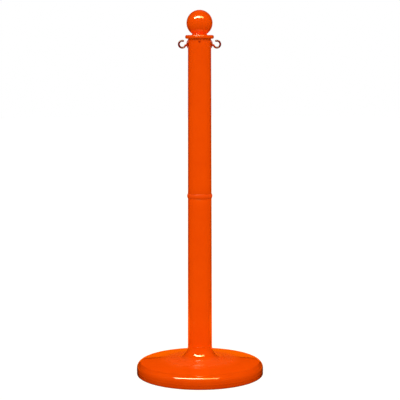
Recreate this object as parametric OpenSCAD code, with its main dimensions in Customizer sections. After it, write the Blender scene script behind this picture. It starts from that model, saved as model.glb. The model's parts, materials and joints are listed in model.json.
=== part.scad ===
// Chain stanchion: a ball-capped plastic post on a round sand-filled base, with two chain hooks.
// Origin: centre of the base on the floor. +Z is up, -Y is the front, the hooks point along X.

/* [Base] */
// Diameter of the base
base_d = 355.6; // [300:1:400]
// Height of the upright part of the base's side
base_side_h = 20; // [18:0.5:30]
// Radius of the rounded upper edge of the base
base_edge_r = 17; // [10:0.5:18]
// Radius of the rounded lower edge of the base
foot_edge_r = 4; // [4:0.5:8]
// Slope of the base's top, in degrees
dome_slope = 6.5; // [3:0.5:9]
// Radius of the sweep from the base's top up to the pole
flare_r = 34; // [24:1:38]
// Wall thickness of the hollow base
base_wall = 3; // [2.5:0.1:4]
// Height of the shallow hollow under the base
under_rise = 5; // [3:0.5:8]
// Level that the sand is filled to
sand_level = 38; // [30:1:42]

/* [Pole] */
// Total height
total_h = 1016; // [900:1:1100]
// Diameter of the pole just under the cap
pole_top_d = 63.4; // [60:0.1:66]
// Diameter of the pole where it meets the base
pole_foot_d = 68; // [67:0.1:70]
// Thinnest wall of the two pole tubes
pole_wall = 3; // [2.5:0.1:3.2]
// Height of the joint between the base and the pole
pole_foot_z = 84; // [82:1:90]
// Height of the middle of the joint ring
ring_z = 506; // [450:1:560]
// Height of the joint ring
ring_h = 14; // [10:1:18]
// How far the joint ring stands out of the pole
ring_proud = 2.2; // [1.5:0.1:3]
// Length of each spigot that a tube slides over
spigot_l = 60; // [45:1:70]

/* [Cap] */
// Diameter of the ball
ball_d = 71; // [66:0.5:74]
// Diameter of the neck under the ball
neck_d = 40; // [36:0.5:44]
// Diameter of the flange
flange_d = 78.4; // [74:0.2:84]
// Thickness of the flange
flange_h = 10; // [8:0.5:10]
// Height of the underside of the flange
flange_z = 937.8; // [936:0.1:939]
// Wall thickness of the cap
cap_wall = 2.8; // [2.4:0.1:3.2]
// Length of the cap's spigot inside the pole
cap_spigot_l = 42; // [36:1:50]
// Height of the rivet that locks the cap
rivet_z = 929.5; // [928:0.1:930]
// Diameter of the rivet's shank
rivet_d = 3.6; // [3:0.1:4]
// Diameter of the rivet's head
rivet_head_d = 5.4; // [5:0.1:5.8]

/* [Hooks] */
// Height of the hooks
hook_z = 923; // [920:0.5:924]
// Distance from the pole's axis to the middle of a hook's eye
hook_reach = 47.4; // [46:0.1:50]
// Diameter of the hook's rod
hook_rod_d = 5; // [4.5:0.1:5.5]
// Diameter of the middle line of the hook's rod
hook_eye_d = 18.6; // [17.5:0.1:20]
// Direction of the hook's tip, in degrees up from the pole side
hook_tip_angle = 76; // [70:1:84]
// Direction of the hook's root, in degrees down from the pole side
hook_root_angle = 15; // [10:1:25]
// Diameter of the round pad at the hook's root
pad_d = 22; // [18:0.5:24]
// Thickness of the pad in its middle
pad_h = 4; // [3:0.1:4.5]
// Diameter of the stem that passes through the pole
stem_d = 9.8; // [9:0.1:10]

/* [Hidden] */
$fn = 96;
eps = 0.01;

// Clearances
slide_gap = 0.08;        // radial, between a spigot's lands and its tube
relief_gap = 0.5;        // radial, between a spigot's plain stretch and its tube
joint_gap = 0.2;         // between two pieces that butt together
turn_gap = 0.35;         // between a hook's pad and the pole
stem_gap = 0.08;         // radial, around the hook's stem

// The base
base_r = base_d / 2;
foot_r = pole_foot_d / 2;
flare_x = foot_r + flare_r;
edge_x = base_r - base_edge_r;
crown_x = edge_x + base_edge_r * sin(dome_slope);
crown_z = base_side_h + base_edge_r * cos(dome_slope);
flare_z = crown_z + (crown_x - flare_x) * tan(dome_slope) + flare_r / cos(dome_slope);
under_r = base_r - 40;

// The pole: a slightly tapered outside, with one straight bore in each tube
pole_top_r = pole_top_d / 2;
function pole_r(z) = foot_r + (pole_top_r - foot_r) * (z - pole_foot_z) / (flange_z - pole_foot_z);
ring_low = ring_z - ring_h / 2;
ring_high = ring_z + ring_h / 2;
lower_bore_r = pole_r(ring_low) - pole_wall;
upper_bore_r = pole_top_r - pole_wall;
spigot_wall = 3;
land_h = 8;
chamfer = 1.5;

// The filler mouth at the top of the base's neck
mouth_r = lower_bore_r - relief_gap - spigot_wall;
mouth_z = pole_foot_z + spigot_l;
stopper_lip_r = mouth_r + 2;
stopper_lip_h = 2.5;
stopper_depth = 18;
stopper_wall = 2.5;
seal_rod_r = 1.6;
seal_r = mouth_r - 0.06 - seal_rod_r;
seal_z = mouth_z - 10;
groove_h = 3.4;

// The cap
ball_r = ball_d / 2;
ball_z = total_h - ball_r;
neck_r = neck_d / 2;
flange_r = flange_d / 2;
flange_top = flange_z + flange_h;
flange_edge_r = 4;
cap_spigot_r = upper_bore_r - slide_gap;
cap_bore_r = cap_spigot_r - cap_wall;
cap_foot_z = flange_z - cap_spigot_l;

// The hooks
rod_r = hook_rod_d / 2;
tip_swell = 0.2;
eye_r = hook_eye_d / 2;
pad_r = pad_d / 2;
pad_x = pole_r(hook_z) + turn_gap;
pad_edge_h = 0.9;
stem_r = stem_d / 2;
retainer_r = 8;
retainer_h = 2.4;
retainer_x = sqrt(pow(cap_bore_r, 2) - pow(retainer_r, 2)) - turn_gap - retainer_h;
stem_end_r = 3.6;
stem_end_l = 1.2;

// Rivet
rivet_r = rivet_d / 2;
rivet_head_r = rivet_head_d / 2;
rivet_sink = 1.1;
rivet_head_h = 1;
rivet_tip_l = 4;

// Points along an arc, from angle a to angle b
function arc(x, z, r, a, b, n = 12) =
    [for (i = [0:n]) [x + r * cos(a + (b - a) * i / n), z + r * sin(a + (b - a) * i / n)]];

// Outline of the base from the floor to the pole's joint, moved inwards by t
function base_outline(t) = concat(
    arc(base_r - foot_edge_r, foot_edge_r, foot_edge_r - t, -90, 0, 6),
    arc(edge_x, base_side_h, base_edge_r - t, 0, 90 - dome_slope),
    arc(flare_x, flare_z, flare_r + t, 270 - dome_slope, 180));

// A ring of rod whose middle line lies in the XZ plane, from angle a to angle b
module rod_arc(a, b) {
    rotate([90, 0, 0])
        rotate([0, 0, a])
            rotate_extrude(angle = b - a) translate([eye_r, 0]) circle(rod_r);
}

module round_x(r, x0, x1) {
    translate([x0, 0, 0]) rotate([0, 90, 0]) cylinder(h = x1 - x0, r = r);
}

module base_shell() {
    neck_r_out = lower_bore_r - relief_gap;
    land_r = lower_bore_r - slide_gap;
    color("orangered")
    difference() {
        union() {
            rotate_extrude() polygon(concat(
                [[0, 0]], base_outline(0), [[foot_r, pole_foot_z], [0, pole_foot_z]]));
            rotate_extrude() polygon([
                [0, pole_foot_z - 1], [neck_r_out, pole_foot_z - 1],
                [neck_r_out, pole_foot_z + 4], [land_r, pole_foot_z + 5],
                [land_r, pole_foot_z + 5 + land_h], [neck_r_out, pole_foot_z + 6 + land_h],
                [neck_r_out, mouth_z - land_h - 4], [land_r, mouth_z - land_h - 3],
                [land_r, mouth_z - 3], [neck_r_out - chamfer, mouth_z], [0, mouth_z]]);
        }
        // The space inside, open at the filler mouth
        rotate_extrude() polygon(concat(
            [[0, under_rise + base_wall], [under_r, under_rise + base_wall],
             [under_r + 2 * under_rise, base_wall]],
            base_outline(base_wall),
            [[foot_r - base_wall, pole_foot_z - 3], [mouth_r, pole_foot_z], [0, pole_foot_z]]));
        translate([0, 0, pole_foot_z - 1]) cylinder(h = spigot_l + 2, r = mouth_r);
        // The shallow hollow underneath, which leaves a ring to stand on
        translate([0, 0, -eps]) cylinder(h = under_rise + eps, r1 = under_r + under_rise, r2 = under_r);
    }
}

module sand_ballast() {
    gap = base_wall + 0.4;
    color("tan")
    intersection() {
        rotate_extrude() polygon(concat(
            [[0, under_rise + gap], [under_r, under_rise + gap],
             [under_r + 2 * under_rise, gap]],
            base_outline(gap), [[0, flare_z]]));
        cylinder(h = sand_level, r = base_r);
    }
}

module fill_stopper() {
    skirt_r = mouth_r - relief_gap;
    floor_z = mouth_z - stopper_depth;
    seat = mouth_z + joint_gap;
    grip_l = 34;
    grip_w = 5;
    grip_h = 14;
    color("dimgray")
    difference() {
        union() {
            rotate_extrude() polygon([
                [0, floor_z], [skirt_r - 2, floor_z], [skirt_r, floor_z + 3],
                [skirt_r, seal_z - groove_h / 2], [seal_r - seal_rod_r, seal_z - groove_h / 2],
                [seal_r - seal_rod_r, seal_z + groove_h / 2], [skirt_r, seal_z + groove_h / 2],
                [skirt_r, seat], [stopper_lip_r, seat], [stopper_lip_r, seat + stopper_lip_h - 1],
                [stopper_lip_r - 1, seat + stopper_lip_h], [0, seat + stopper_lip_h]]);
            // Finger grip across the well, level with the lip
            translate([-grip_l / 2, -grip_w / 2, seat])
                cube([grip_l, grip_w, grip_h]);
        }
        // Well on both sides of the grip
        for (side = [0, 180]) rotate([0, 0, side])
            intersection() {
                translate([0, 0, floor_z + stopper_wall])
                    cylinder(h = stopper_depth + stopper_lip_h, r = skirt_r - stopper_wall - 2);
                translate([-mouth_r, grip_w / 2, floor_z])
                    cube([2 * mouth_r, mouth_r, stopper_depth + 2 * stopper_lip_h]);
            }
    }
}

module stopper_seal() {
    color("black")
        rotate_extrude() translate([seal_r, seal_z]) circle(seal_rod_r);
}

module lower_pole() {
    foot_z = pole_foot_z + joint_gap;
    top_z = ring_low - joint_gap;
    color("orangered")
    difference() {
        translate([0, 0, foot_z])
            cylinder(h = top_z - foot_z, r1 = pole_r(foot_z), r2 = pole_r(top_z));
        translate([0, 0, foot_z - 1]) cylinder(h = top_z - foot_z + 2, r = lower_bore_r);
    }
}

module pole_coupler() {
    low_r = lower_bore_r;
    high_r = upper_bore_r;
    edge_r = pole_r(ring_z);
    foot_z = ring_low - spigot_l;
    top_z = ring_high + spigot_l;
    bulge = (pow(ring_h / 2, 2) + pow(ring_proud, 2)) / (2 * ring_proud);
    half_angle = asin(ring_h / 2 / bulge);
    color("orangered")
    difference() {
        rotate_extrude() polygon(concat(
            [[0, foot_z], [low_r - chamfer, foot_z], [low_r - slide_gap, foot_z + 3],
             [low_r - slide_gap, foot_z + 3 + land_h], [low_r - relief_gap, foot_z + 4 + land_h],
             [low_r - relief_gap, ring_low - land_h - 4], [low_r - slide_gap, ring_low - land_h - 3],
             [low_r - slide_gap, ring_low]],
            arc(edge_r + ring_proud - bulge, ring_z, bulge, -half_angle, half_angle),
            [[high_r - slide_gap, ring_high], [high_r - slide_gap, ring_high + land_h],
             [high_r - relief_gap, ring_high + land_h + 1],
             [high_r - relief_gap, top_z - land_h - 4], [high_r - slide_gap, top_z - land_h - 3],
             [high_r - slide_gap, top_z - 3], [high_r - chamfer, top_z], [0, top_z]]));
        translate([0, 0, foot_z - 1])
            cylinder(h = top_z - foot_z + 2, r = high_r - relief_gap - spigot_wall);
    }
}

module upper_pole() {
    foot_z = ring_high + joint_gap;
    top_z = flange_z - joint_gap;
    color("orangered")
    difference() {
        translate([0, 0, foot_z])
            cylinder(h = top_z - foot_z, r1 = pole_r(foot_z), r2 = pole_r(top_z));
        translate([0, 0, foot_z - 1]) cylinder(h = top_z - foot_z + 2, r = upper_bore_r);
        hook_holes();
        rivet_hole();
    }
}

module hook_holes() {
    translate([0, 0, hook_z]) round_x(stem_r + stem_gap, -pole_top_d, pole_top_d);
}

module rivet_hole() {
    front = pole_r(rivet_z);
    translate([0, 0, rivet_z]) rotate([90, 0, 0]) {
        cylinder(h = 2 * front, r = rivet_r);
        translate([0, 0, front - rivet_sink - rivet_head_h])
            cylinder(h = front, r = rivet_head_r + 0.1);
    }
}

module ball_cap() {
    neck_z = ball_z - sqrt(pow(ball_r, 2) - pow(neck_r, 2));
    neck_angle = acos(neck_r / ball_r);
    inner_r = ball_r - cap_wall;
    inner_neck_r = neck_r - cap_wall;
    inner_angle = acos(inner_neck_r / inner_r);
    fillet_r = neck_z - flange_top;
    color("orangered")
    difference() {
        rotate_extrude() polygon(concat(
            // Ball, small sweep under it, rounded flange
            arc(0, ball_z, ball_r, 90, -neck_angle, 32),
            arc(neck_r + fillet_r, neck_z, fillet_r, 180, 270, 6),
            arc(flange_r - flange_edge_r, flange_top - flange_edge_r, flange_edge_r, 90, 0, 8),
            arc(flange_r - flange_edge_r, flange_z + flange_edge_r, flange_edge_r, 0, -90, 8),
            // Spigot inside the pole
            [[cap_spigot_r, flange_z], [cap_spigot_r, cap_foot_z + 3],
             [cap_spigot_r - chamfer, cap_foot_z], [cap_bore_r, cap_foot_z],
             [cap_bore_r, flange_z], [inner_neck_r, flange_top - cap_wall]],
            // The hollow of the ball
            arc(0, ball_z, inner_r, -inner_angle, 90, 24)));
        hook_holes();
        rivet_hole();
    }
}

module cap_rivet() {
    head_y = pole_r(rivet_z) - rivet_sink;
    tail_y = cap_bore_r - rivet_tip_l;
    color("orangered")
    translate([0, 0, rivet_z]) rotate([90, 0, 0])
    difference() {
        union() {
            translate([0, 0, head_y - rivet_head_h]) cylinder(h = rivet_head_h, r = rivet_head_r);
            translate([0, 0, tail_y]) cylinder(h = head_y - tail_y - eps, r = rivet_r);
        }
        // Dimple where the centre pin is pushed in
        translate([0, 0, head_y - rivet_head_h + 0.3]) cylinder(h = rivet_head_h, r = 1.2);
    }
}

// A hook on the +X side. Its eye is open towards the pole and up, and the rod ends in small balls.
module hook() {
    shank_z = -eye_r * sin(hook_root_angle);
    shank_x = hook_reach - eye_r * cos(hook_root_angle);
    dome_r = (pow(pad_r, 2) + pow(pad_h - pad_edge_h, 2)) / (2 * (pad_h - pad_edge_h));
    dome_angle = asin(pad_r / dome_r);
    color("orangered")
    translate([0, 0, hook_z]) {
        translate([hook_reach, 0, 0]) {
            rod_arc(hook_root_angle - 180, 180 - hook_tip_angle);
            for (a = [180 - hook_tip_angle, hook_root_angle - 180])
                rotate([0, -a, 0]) translate([eye_r, 0, 0]) sphere(rod_r + tip_swell);
        }
        // Shank from the pad to the rod
        translate([0, 0, shank_z]) round_x(rod_r, pad_x + 1, shank_x);
        // Domed pad with a flat back
        rotate([0, 90, 0]) rotate_extrude() polygon(concat(
            [[0, pad_x]], [[pad_r, pad_x]],
            arc(0, pad_x + pad_h - dome_r, dome_r, 90 - dome_angle, 90)));
        // Stem through the pole, and its turned-down end
        round_x(stem_r, retainer_x + retainer_h, pad_x + eps);
        round_x(stem_end_r, retainer_x - stem_end_l, retainer_x + retainer_h + eps);
    }
}

// Push-on ring inside the pole that keeps a hook in place
module hook_retainer() {
    color("gray")
    translate([0, 0, hook_z])
    difference() {
        round_x(retainer_r, retainer_x, retainer_x + retainer_h);
        round_x(stem_end_r, retainer_x - 1, retainer_x + retainer_h + 1);
    }
}

base_shell();
sand_ballast();
fill_stopper();
stopper_seal();
lower_pole();
pole_coupler();
upper_pole();
ball_cap();
cap_rivet();
mirror([1, 0, 0]) hook();  // hook_left
hook();  // hook_right
mirror([1, 0, 0]) hook_retainer();  // hook_left_retainer
hook_retainer();  // hook_right_retainer
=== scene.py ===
# %% [markdown]
# # A chain stanchion in safety orange
#
# This is a plastic post of the kind that carries a chain around a queue or a wet floor: a round
# base filled with sand, a pole in two halves, and a cap with a ball on it. Nearly every visible
# piece is a body of revolution, so the lesson is about clean lathe work, small rounded edges, and
# one glossy plastic that has to look moulded rather than computed.
#
# The solid model is loaded first. It fixes every size and place, and nothing here moves it. The
# pieces made below stand in front of its plain solids, one by one.

# %% Load the frame
import json
import math

import bmesh
import bpy
from mathutils import Matrix, Vector, noise

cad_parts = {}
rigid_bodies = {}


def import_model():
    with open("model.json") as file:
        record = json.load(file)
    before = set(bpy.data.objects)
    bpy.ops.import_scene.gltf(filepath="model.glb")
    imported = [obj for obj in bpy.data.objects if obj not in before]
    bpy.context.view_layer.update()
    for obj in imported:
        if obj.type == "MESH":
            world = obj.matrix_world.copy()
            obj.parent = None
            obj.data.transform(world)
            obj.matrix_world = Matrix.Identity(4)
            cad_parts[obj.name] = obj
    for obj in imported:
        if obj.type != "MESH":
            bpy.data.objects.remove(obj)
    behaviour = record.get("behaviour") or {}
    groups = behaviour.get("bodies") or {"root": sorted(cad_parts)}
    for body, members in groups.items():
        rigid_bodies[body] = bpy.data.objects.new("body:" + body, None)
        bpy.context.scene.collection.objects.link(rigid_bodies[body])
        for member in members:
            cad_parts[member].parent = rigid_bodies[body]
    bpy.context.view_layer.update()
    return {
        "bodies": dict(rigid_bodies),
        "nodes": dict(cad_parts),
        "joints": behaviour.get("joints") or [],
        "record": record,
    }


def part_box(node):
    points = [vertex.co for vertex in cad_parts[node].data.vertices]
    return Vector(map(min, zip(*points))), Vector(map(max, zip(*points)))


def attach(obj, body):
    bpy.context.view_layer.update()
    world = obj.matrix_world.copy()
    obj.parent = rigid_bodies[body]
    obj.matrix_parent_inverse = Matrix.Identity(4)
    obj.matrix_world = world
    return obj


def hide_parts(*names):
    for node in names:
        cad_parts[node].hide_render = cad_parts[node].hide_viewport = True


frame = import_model()
MM = 0.001
print("nodes in the frame:", ", ".join(sorted(frame["nodes"])))

# %% [markdown]
# ## Sizes
#
# The corners of each solid give the main sizes. A few edge radii and wall thicknesses are needed
# as well, because a box doesn't tell them, and they are named here in millimetres times MM.

# %% Read the main sizes from the frame
base_low, base_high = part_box("base_shell")
foot_low, foot_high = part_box("lower_pole")
head_low, head_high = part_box("upper_pole")
ring_low, ring_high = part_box("pole_coupler")
cap_low, cap_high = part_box("ball_cap")
sand_low, sand_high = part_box("sand_ballast")
stopper_low, stopper_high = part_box("fill_stopper")
rivet_low, rivet_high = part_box("cap_rivet")

base_r = 177.8 * MM
pole_foot_r = 34 * MM
pole_top_r = 31.7 * MM
wall = 3 * MM
pole_foot_z = 84 * MM
flange_z = 937.8 * MM
ring_z = (foot_high.z + head_low.z) / 2
ring_h = 14 * MM
ring_proud = 2.2 * MM
spigot_top = base_high.z


def pole_r(z):
    """Outer radius of the slightly tapered pole at height z."""
    share = (z - pole_foot_z) / (flange_z - pole_foot_z)
    return pole_foot_r + (pole_top_r - pole_foot_r) * share


lower_bore_r = pole_r(ring_z - ring_h / 2) - wall
upper_bore_r = pole_top_r - wall

# %% [markdown]
# ## The lathe
#
# Blown and moulded plastic has no sharp edges. A corner that is left sharp gives the model away at
# once, since a real edge always catches a thin line of light. So an outline is written with plain
# corners, each with its own radius, and `rounded` replaces every corner by an arc. `lathe` then
# turns the outline into a mesh of quads. Doing this in bmesh, and not with a Screw modifier, lets
# each ring of points be shifted a little before the mesh is made.

# %% Outline and lathe helpers
CORNER_STEPS = 5


def arc(x, z, r, start, end, steps):
    """Points on an arc around (x, z). Angles are in degrees."""
    angles = [math.radians(start + (end - start) * i / steps) for i in range(steps + 1)]
    return [(x + r * math.cos(a), z + r * math.sin(a)) for a in angles]


def rounded(corners, steps=CORNER_STEPS):
    """Outline through corners (x, z, r), with each corner rounded to radius r."""
    points = []
    last = len(corners) - 1
    for i, (x, z, r) in enumerate(corners):
        corner = Vector((x, z))
        if r == 0 or i in (0, last):
            points.append((x, z))
            continue
        back = (Vector(corners[i - 1][:2]) - corner).normalized()
        on = (Vector(corners[i + 1][:2]) - corner).normalized()
        half = back.angle(on) / 2
        reach = r / math.tan(half)
        first, end = corner + back * reach, corner + on * reach
        middle = corner + (back + on).normalized() * (r / math.sin(half))
        a = math.atan2(first.y - middle.y, first.x - middle.x)
        turn = math.atan2(end.y - middle.y, end.x - middle.x) - a
        turn = (turn + math.pi) % (2 * math.pi) - math.pi
        for k in range(steps + 1):
            b = a + turn * k / steps
            points.append((middle.x + r * math.cos(b), middle.y + r * math.sin(b)))
    return points


def finer(points, longest):
    """The same outline, with long straight stretches divided."""
    made = [points[0]]
    for (x0, z0), (x1, z1) in zip(points, points[1:]):
        parts = max(1, math.ceil(math.hypot(x1 - x0, z1 - z0) / longest))
        made += [(x0 + (x1 - x0) * k / parts, z0 + (z1 - z0) * k / parts)
                 for k in range(1, parts + 1)]
    return made


def lathe(name, outline, turns=192, shift=None):
    """Turns a closed outline of (radius, z) points around Z into a mesh object.

    Points on the axis become one vertex. shift(point) may move a point after it is turned.
    """
    mesh_maker = bmesh.new()
    rings = []
    for r, z in outline:
        if r < 1e-6:
            rings.append([mesh_maker.verts.new((0, 0, z))])
            continue
        ring = []
        for i in range(turns):
            angle = 2 * math.pi * i / turns
            point = Vector((r * math.cos(angle), r * math.sin(angle), z))
            ring.append(mesh_maker.verts.new(shift(point) if shift else point))
        rings.append(ring)
    on_axis = outline[0][0] < 1e-6
    pairs = list(zip(rings, rings[1:])) + ([] if on_axis else [(rings[-1], rings[0])])
    for ring, following in pairs:
        for i in range(turns):
            j = (i + 1) % turns
            corners = [ring[i % len(ring)], ring[j % len(ring)],
                       following[j % len(following)], following[i % len(following)]]
            corners = list(dict.fromkeys(corners))
            if len(corners) > 2:
                mesh_maker.faces.new(corners)
    bmesh.ops.recalc_face_normals(mesh_maker, faces=mesh_maker.faces)
    return finish_mesh(name, mesh_maker)


def finish_mesh(name, mesh_maker, sharp=40):
    """Makes a smooth-shaded object from a bmesh, with edges over the sharp angle kept crisp."""
    mesh = bpy.data.meshes.new(name)
    mesh_maker.to_mesh(mesh)
    mesh_maker.free()
    mesh.shade_smooth()
    mesh.set_sharp_from_angle(angle=math.radians(sharp))
    piece = bpy.data.objects.new(name, mesh)
    bpy.context.scene.collection.objects.link(piece)
    return piece


def waviness(size, depth, seed):
    """A shift for lathe: blown plastic shrinks unevenly and is never quite true."""
    def shift(point):
        swell = noise.noise(point / size + Vector((seed, seed, seed)))
        outwards = Vector((point.x, point.y, 0)).normalized()
        return point + outwards * swell * depth * 0.5 + Vector((0, 0, swell * depth))
    return shift


def put(piece, body, slot, finish, *nodes):
    """Hangs a piece on its body, gives it its finish, and lets it stand for its solids."""
    piece.data.materials.clear()
    piece.data.materials.append(finish)
    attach(piece, body)
    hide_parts(*nodes)
    print(f"{piece.name}: {len(piece.data.vertices)} points, on {body}")
    return piece

# %% [markdown]
# ## The orange plastic
#
# The post is polyethylene coloured all the way through. It is glossy but not like paint: the
# surface follows the mould, so it has a very fine orange peel, faint streaks along the direction in
# which the plastic flowed, and a cloudy variation of the pigment that is barely there. Use adds
# rubbed patches, a few hairline scratches, and dust that gathers round the neck on what faces up.
# Painted shade darkens the base just above the floor and the hooks' loops.
#
# Every material starts from an empty node tree, and its nodes are laid out in one row for each
# effect, so that they can be read in the node editor.

# %% Start and layout of a material
def empty_material(name):
    """A material with nothing in its node tree yet, with its nodes and links at hand."""
    material = bpy.data.materials.new(name)
    material.use_nodes = True
    material.node_tree.nodes.clear()
    return material, material.node_tree.nodes, material.node_tree.links


def lay_out(*rows):
    """Lays nodes out in rows of (frame, first column, nodes) and puts each row in its frame."""
    for row, (frame, first, *members) in enumerate(rows):
        for column, node in enumerate(members, first):
            node.parent = frame
            node.location = (260 * column, -420 * row)


print("a row of nodes for each effect")

# %% [markdown]
# One function builds the make-up of every orange piece. Its arguments say how the piece was
# moulded: a drawn tube has streaks along its length, a base that is kicked and dragged has more
# scuffs near the floor, and the joint ring has a duller skin than the rest.

# %% The orange plastic as a function of how a piece is made
def orange_plastic(name, pigment, gloss, streak_depth, scuff_top, peel_depth, shine=1,
                   painted_loop_shade=0):
    """Coloured polyethylene. scuff_top is the height up to which shoes have marked it, shine is
    how clear its skin is, and painted_loop_shade is how dark the painted shade makes the part
    that sticks out far. Every piece also gets painted shade just above the floor."""
    material, nodes, links = empty_material(name)

    cloud_frame = nodes.new("NodeFrame")
    cloud_frame.label = "Pigment"
    streak_frame = nodes.new("NodeFrame")
    streak_frame.label = "Flow streaks"
    scuff_frame = nodes.new("NodeFrame")
    scuff_frame.label = "Scuffs"
    dust_frame = nodes.new("NodeFrame")
    dust_frame.label = "Dust"
    painted_shade_frame = nodes.new("NodeFrame")
    painted_shade_frame.label = "Painted shade"
    relief_frame = nodes.new("NodeFrame")
    relief_frame.label = "Surface relief"

    place = nodes.new("ShaderNodeTexCoord")
    place.label = "Place on the post"

    # Pigment: wide soft clouds and a fine speckle
    clouds = nodes.new("ShaderNodeTexNoise")
    clouds.label = "Cloudy pigment"
    clouds.inputs["Roughness"].default_value = 0.55
    speckle = nodes.new("ShaderNodeTexNoise")
    speckle.label = "Pigment speckle"
    cloud_tint = nodes.new("ShaderNodeMix")
    cloud_tint.label = "Clouds tint the pigment"
    cloud_tint.data_type = "RGBA"
    red, green, blue = pigment
    cloud_tint.inputs["A"].default_value = (red * 0.94, green * 0.86, blue, 1)
    cloud_tint.inputs["B"].default_value = (min(1, red * 1.05), green * 1.12, blue, 1)
    speckle_tint = nodes.new("ShaderNodeMix")
    speckle_tint.label = "Speckle breaks it up"
    speckle_tint.data_type = "RGBA"
    speckle_tint.blend_type = "SOFT_LIGHT"
    speckle_tint.inputs["Factor"].default_value = 0.06
    links.new(place.outputs["Object"], clouds.inputs["Vector"])
    links.new(place.outputs["Object"], speckle.inputs["Vector"])
    links.new(clouds.outputs["Fac"], cloud_tint.inputs["Factor"])
    links.new(cloud_tint.outputs["Result"], speckle_tint.inputs["A"])
    links.new(speckle.outputs["Color"], speckle_tint.inputs["B"])

    # Streaks: noise that is drawn out along Z
    stretch = nodes.new("ShaderNodeMapping")
    stretch.label = "Draw out along the pole"
    stretch.inputs["Scale"].default_value = (240, 240, 2.5)
    streaks = nodes.new("ShaderNodeTexNoise")
    streaks.label = "Die streaks"
    links.new(place.outputs["Object"], stretch.inputs["Vector"])
    links.new(stretch.outputs["Vector"], streaks.inputs["Vector"])

    # Scuffs: broken patches, strong near the floor and fading out at scuff_top
    height = nodes.new("ShaderNodeSeparateXYZ")
    height.label = "Height"
    near_floor = nodes.new("ShaderNodeMapRange")
    near_floor.label = "Near the floor"
    rubbed = nodes.new("ShaderNodeTexNoise")
    rubbed.label = "Rubbed patches"
    rubbed.inputs["Roughness"].default_value = 0.7
    rubbed.inputs["Distortion"].default_value = 1.2
    rubbed_edge = nodes.new("ShaderNodeValToRGB")
    rubbed_edge.label = "Only the worst of it"
    rubbed_edge.color_ramp.elements[0].position = 0.6
    rubbed_edge.color_ramp.elements[1].position = 0.76
    scuffs = nodes.new("ShaderNodeMath")
    scuffs.label = "Scuffs near the floor"
    scuffs.operation = "MULTIPLY"
    scuff_share = nodes.new("ShaderNodeMath")
    scuff_share.label = "Scuffs are faint"
    scuff_share.operation = "MULTIPLY"
    scuff_share.inputs[1].default_value = 0.3
    scuff_tint = nodes.new("ShaderNodeMix")
    scuff_tint.label = "Scuffs turn it pale"
    scuff_tint.data_type = "RGBA"
    scuff_tint.inputs["B"].default_value = (0.85, 0.2, 0.06, 1)
    links.new(place.outputs["Object"], height.inputs["Vector"])
    links.new(height.outputs["Z"], near_floor.inputs["Value"])
    links.new(place.outputs["Object"], rubbed.inputs["Vector"])
    links.new(rubbed.outputs["Fac"], rubbed_edge.inputs["Fac"])
    links.new(near_floor.outputs["Result"], scuffs.inputs[0])
    links.new(rubbed_edge.outputs["Color"], scuffs.inputs[1])
    links.new(scuffs.outputs["Value"], scuff_share.inputs[0])
    links.new(scuff_share.outputs["Value"], scuff_tint.inputs["Factor"])
    links.new(speckle_tint.outputs["Result"], scuff_tint.inputs["A"])

    # Dust: a thin film on what faces up, in patches, most of it round the neck
    facing = nodes.new("ShaderNodeNewGeometry")
    facing.label = "Which way it faces"
    up = nodes.new("ShaderNodeSeparateXYZ")
    up.label = "How far up it faces"
    settled = nodes.new("ShaderNodeMapRange")
    settled.label = "Dust settles on top"
    patches = nodes.new("ShaderNodeMapRange")
    patches.label = "Dust lies in patches"
    flat = nodes.new("ShaderNodeVectorMath")
    flat.label = "Leave out the height"
    flat.operation = "MULTIPLY"
    flat.inputs[1].default_value = (1, 1, 0)
    from_axis = nodes.new("ShaderNodeVectorMath")
    from_axis.label = "Distance from the pole's axis"
    from_axis.operation = "LENGTH"
    gathered = nodes.new("ShaderNodeMapRange")
    gathered.label = "Dust gathers round the neck"
    laid = nodes.new("ShaderNodeMath")
    laid.label = "Where dust lies"
    laid.operation = "MULTIPLY"
    dusty = nodes.new("ShaderNodeMath")
    dusty.label = "Patchy dust"
    dusty.operation = "MULTIPLY"
    dust_share = nodes.new("ShaderNodeMath")
    dust_share.label = "A thin film of it"
    dust_share.operation = "MULTIPLY"
    dust_share.inputs[1].default_value = 0.02
    clean = nodes.new("ShaderNodeMapRange")
    clean.label = "Dust dims the clear gloss"
    dust_tint = nodes.new("ShaderNodeMix")
    dust_tint.label = "Dust greys it"
    dust_tint.data_type = "RGBA"
    dust_tint.inputs["B"].default_value = (0.6, 0.4, 0.25, 1)
    links.new(facing.outputs["Normal"], up.inputs["Vector"])
    links.new(up.outputs["Z"], settled.inputs["Value"])
    links.new(settled.outputs["Result"], dusty.inputs[0])
    links.new(clouds.outputs["Fac"], patches.inputs["Value"])
    links.new(place.outputs["Object"], flat.inputs[0])
    links.new(flat.outputs["Vector"], from_axis.inputs[0])
    links.new(from_axis.outputs["Value"], gathered.inputs["Value"])
    links.new(patches.outputs["Result"], laid.inputs[0])
    links.new(gathered.outputs["Result"], laid.inputs[1])
    links.new(laid.outputs["Value"], dusty.inputs[1])
    links.new(dusty.outputs["Value"], dust_share.inputs[0])
    links.new(dusty.outputs["Value"], clean.inputs["Value"])
    links.new(dust_share.outputs["Value"], dust_tint.inputs["Factor"])
    links.new(scuff_tint.outputs["Result"], dust_tint.inputs["A"])
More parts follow.
